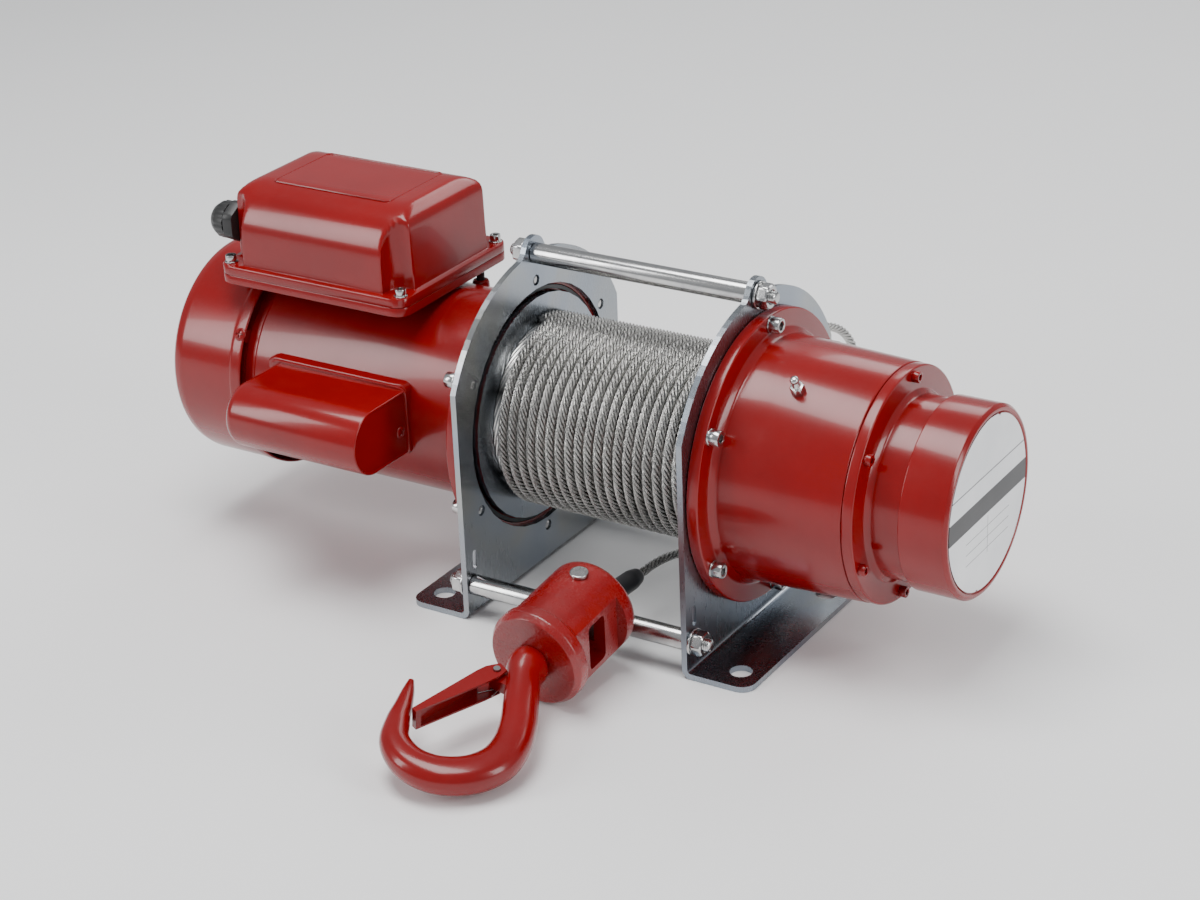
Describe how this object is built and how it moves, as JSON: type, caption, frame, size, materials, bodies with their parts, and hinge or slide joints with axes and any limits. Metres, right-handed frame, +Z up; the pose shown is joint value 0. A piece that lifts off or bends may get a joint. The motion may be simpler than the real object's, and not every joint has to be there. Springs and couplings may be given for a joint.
{
  "type": "electric wire rope puller",
  "caption": "Electric wire rope puller: motor and planetary gearbox either side of a rope drum between footed plates, with a swivel hook on the rope.",
  "frame": {"origin": "on the floor below the middle of the machine's own box, leaving out the free rope, its end fittings and the hook", "axes": "+X along the drum's axis towards the gearbox, +Y to the rear, away from the hook, +Z up from the feet"},
  "size_m": [0.6672, 0.5318, 0.293],
  "materials": {
    "red_paint": "glossy deep red enamel over castings and pressed sheet",
    "zinc_plate": "blue-white zinc plating with a faint tint",
    "bright_steel": "bright plated steel",
    "machined_steel": "machined steel",
    "rope_wire": "bright galvanised stranded wire, lightly oiled",
    "black_plastic": "black moulded plastic",
    "black_rubber": "black rubber sheath",
    "blackened_steel": "blackened steel",
    "stator_windings": "laminated core with varnished copper windings"
  },
  "bodies": {
    "frame": {"left_side_plate": "zinc_plate", "right_side_plate": "zinc_plate", "upper_tie_bar": "bright_steel", "front_tie_bar": "bright_steel", "rear_tie_bar": "bright_steel", "upper_left_nut": "zinc_plate", "upper_right_nut": "zinc_plate", "front_left_nut": "zinc_plate", "front_right_nut": "zinc_plate", "rear_left_nut": "zinc_plate", "rear_right_nut": "zinc_plate", "gearbox_housing": "red_paint", "gearbox_cover": "red_paint", "brake_cap": "red_paint", "rating_disc": "bright_steel", "grease_nipple": "bright_steel", "output_bearing": "machined_steel", "ring_gear": "machined_steel", "brake_coil": "black_plastic", "motor_flange": "red_paint", "drive_end_bearing": "machined_steel", "drum_bearing": "machined_steel", "motor_body": "red_paint", "stator_core": "stator_windings", "fan_end_shield": "red_paint", "fan_end_bearing": "machined_steel", "fan_cover": "red_paint", "terminal_box_base": "red_paint", "terminal_box_cover": "red_paint", "contactor": "black_plastic", "cable_gland": "black_plastic", "motor_lead": "black_rubber", "capacitor_cover": "red_paint", "start_capacitor": "black_plastic", "rope_tail": "rope_wire", "ferrule": "blackened_steel", "thimble": "blackened_steel"},
    "drum": {"rope_drum": "zinc_plate", "rope_winding": "rope_wire", "second_carrier": "machined_steel"},
    "rotor": {"motor_shaft": "machined_steel", "rotor_core": "machined_steel", "drive_shaft": "machined_steel", "cooling_fan": "black_plastic", "brake_disc": "black_plastic"},
    "first_carrier": {"first_carrier": "machined_steel"},
    "first_planet_1": {"first_planet_1": "machined_steel"},
    "first_planet_2": {"first_planet_2": "machined_steel"},
    "first_planet_3": {"first_planet_3": "machined_steel"},
    "second_planet_1": {"second_planet_1": "machined_steel"},
    "second_planet_2": {"second_planet_2": "machined_steel"},
    "second_planet_3": {"second_planet_3": "machined_steel"},
    "armature": {"brake_armature": "machined_steel"},
    "hook_block": {"hook_block": "red_paint", "clevis_pin": "bright_steel"},
    "hook": {"hook": "red_paint", "hook_nut": "machined_steel", "latch_rivet": "bright_steel"},
    "latch": {"latch": "red_paint"}
  },
  "joints": [
    {"name": "drum_spin", "type": "hinge", "parent": "frame", "child": "drum", "pos_m": [0.055, 0.01825, 0.133], "axis": [1, 0, 0], "continuous": true},
    {"name": "rotor_spin", "type": "hinge", "parent": "frame", "child": "rotor", "pos_m": [0.055, 0.01825, 0.133], "axis": [1, 0, 0], "continuous": true},
    {"name": "first_carrier_spin", "type": "hinge", "parent": "frame", "child": "first_carrier", "pos_m": [0.055, 0.01825, 0.133], "axis": [1, 0, 0], "continuous": true},
    {"name": "first_planet_1_spin", "type": "hinge", "parent": "first_carrier", "child": "first_planet_1", "pos_m": [0.22215, 0.0595, 0.133], "axis": [1, 0, 0], "continuous": true},
    {"name": "first_planet_2_spin", "type": "hinge", "parent": "first_carrier", "child": "first_planet_2", "pos_m": [0.22215, -0.00237, 0.16872], "axis": [1, 0, 0], "continuous": true},
    {"name": "first_planet_3_spin", "type": "hinge", "parent": "first_carrier", "child": "first_planet_3", "pos_m": [0.22215, -0.00237, 0.09728], "axis": [1, 0, 0], "continuous": true},
    {"name": "second_planet_1_spin", "type": "hinge", "parent": "drum", "child": "second_planet_1", "pos_m": [0.18715, 0.0595, 0.133], "axis": [1, 0, 0], "continuous": true},
    {"name": "second_planet_2_spin", "type": "hinge", "parent": "drum", "child": "second_planet_2", "pos_m": [0.18715, -0.00237, 0.16872], "axis": [1, 0, 0], "continuous": true},
    {"name": "second_planet_3_spin", "type": "hinge", "parent": "drum", "child": "second_planet_3", "pos_m": [0.18715, -0.00237, 0.09728], "axis": [1, 0, 0], "continuous": true},
    {"name": "brake_release", "type": "slide", "parent": "frame", "child": "armature", "axis": [-1, 0, 0], "range_m": [0, 0.0006], "stiffness_N_per_m": 5000, "springref_m": -0.004},
    {"name": "hook_block_swing", "type": "hinge", "parent": "frame", "child": "hook_block", "pos_m": [0.0799, -0.12035, 0.0467], "axis": [0.0824, -0.1415, 0.9865], "range_deg": [-8, 8]},
    {"name": "hook_swivel", "type": "hinge", "parent": "hook_block", "child": "hook", "pos_m": [0.07742, -0.182, 0.03806], "axis": [0.0398, 0.9895, 0.1386], "continuous": true},
    {"name": "latch_hinge", "type": "hinge", "parent": "hook", "child": "latch", "pos_m": [0.06593, -0.21053, 0.03586], "axis": [0.1689, -0.1434, 0.9751], "range_deg": [0, 40], "stiffness_Nm_per_rad": 0.05, "springref_deg": -34.38}
  ],
  "couplings": [
    {"joint": "rotor_spin", "follows": "drum_spin", "ratio": 30.25},
    {"joint": "first_carrier_spin", "follows": "drum_spin", "ratio": 5.5},
    {"joint": "first_planet_1_spin", "follows": "drum_spin", "ratio": -14.143},
    {"joint": "first_planet_2_spin", "follows": "drum_spin", "ratio": -14.143},
    {"joint": "first_planet_3_spin", "follows": "drum_spin", "ratio": -14.143},
    {"joint": "second_planet_1_spin", "follows": "drum_spin", "ratio": -2.5714},
    {"joint": "second_planet_2_spin", "follows": "drum_spin", "ratio": -2.5714},
    {"joint": "second_planet_3_spin", "follows": "drum_spin", "ratio": -2.5714}
  ]
}
